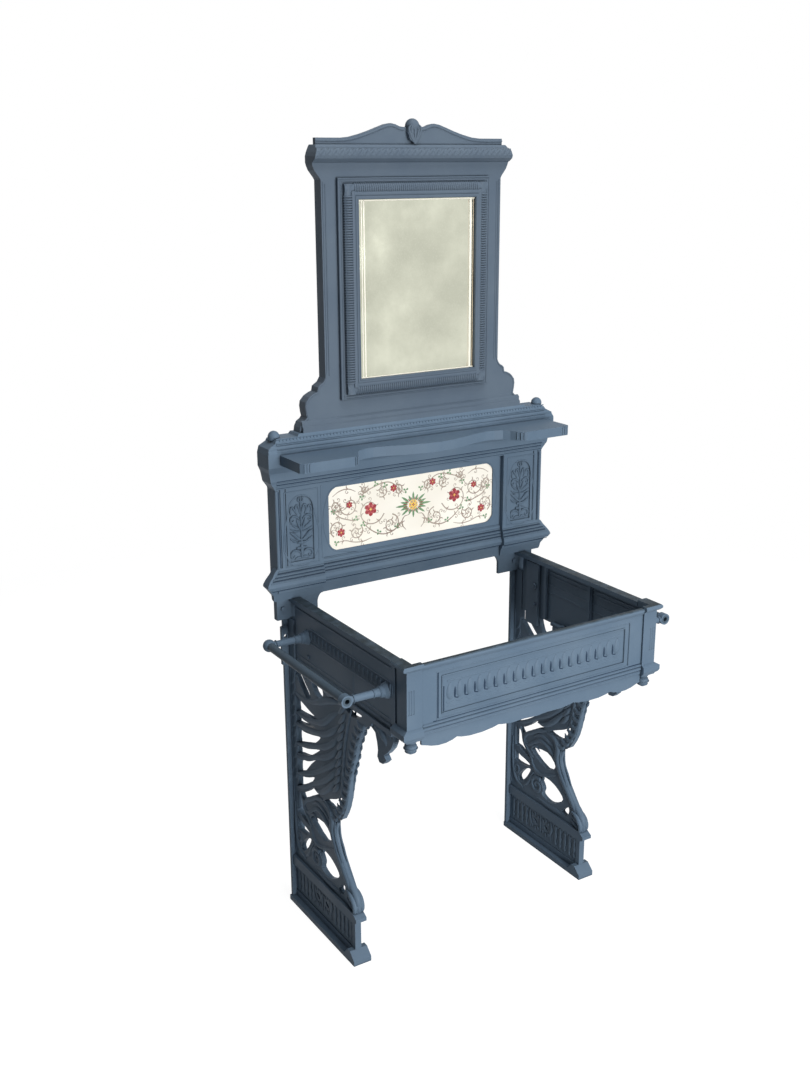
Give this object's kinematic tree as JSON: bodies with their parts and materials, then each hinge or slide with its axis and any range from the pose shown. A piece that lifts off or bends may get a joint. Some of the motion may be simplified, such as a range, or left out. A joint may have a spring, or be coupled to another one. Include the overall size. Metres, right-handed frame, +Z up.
{
  "type": "iron wash basin stand",
  "caption": "Ornamental cast iron wash stand with openwork legs, open basin frame, towel rails, tiled splashback, shelf and framed mirror.",
  "frame": {"origin": "on the floor, under the middle of the stand's width and depth", "axes": "+X to the right of someone facing the stand, -Y to the front and +Z up; the wall plane is at Y = +0.250"},
  "size_m": [0.837, 0.5, 1.75],
  "materials": {
    "painted_iron": "satin slate blue paint over cast iron, worn to grey on the edges",
    "steel_hardware": "dull dark steel",
    "glazed_tile": "cream glaze with printed and tinted flower ornament",
    "mirror_plate": "aged silvered plate with a bevelled edge",
    "pine": "bare aged pine",
    "brass_screws": "dull brass"
  },
  "bodies": {
    "root": {"left_leg": "painted_iron", "right_leg": "painted_iron", "front_apron": "painted_iron", "left_side_panel": "painted_iron", "right_side_panel": "painted_iron", "left_corner_post": "painted_iron", "right_corner_post": "painted_iron", "left_drop_finial": "painted_iron", "right_drop_finial": "painted_iron", "left_rear_towel_arm": "painted_iron", "left_front_towel_arm": "painted_iron", "right_rear_towel_arm": "painted_iron", "right_front_towel_arm": "painted_iron", "left_towel_rail": "painted_iron", "right_towel_rail": "painted_iron", "towel_arm_nuts": "steel_hardware", "splashback": "painted_iron", "splash_tile": "glazed_tile", "tile_retaining_strips": "steel_hardware", "tile_strip_screws": "steel_hardware", "shoulder_frieze": "painted_iron", "shelf": "painted_iron", "mirror_frame": "painted_iron", "mirror_glass": "mirror_plate", "mirror_backboard": "pine", "mirror_retaining_strips": "pine", "mirror_strip_screws": "brass_screws", "leg_bolts": "steel_hardware", "apron_bolts": "steel_hardware", "side_panel_bolts": "steel_hardware", "splashback_bolts": "steel_hardware", "frieze_bolts": "steel_hardware", "mirror_bolts": "steel_hardware", "shelf_screws": "steel_hardware"}
  },
  "joints": []
}
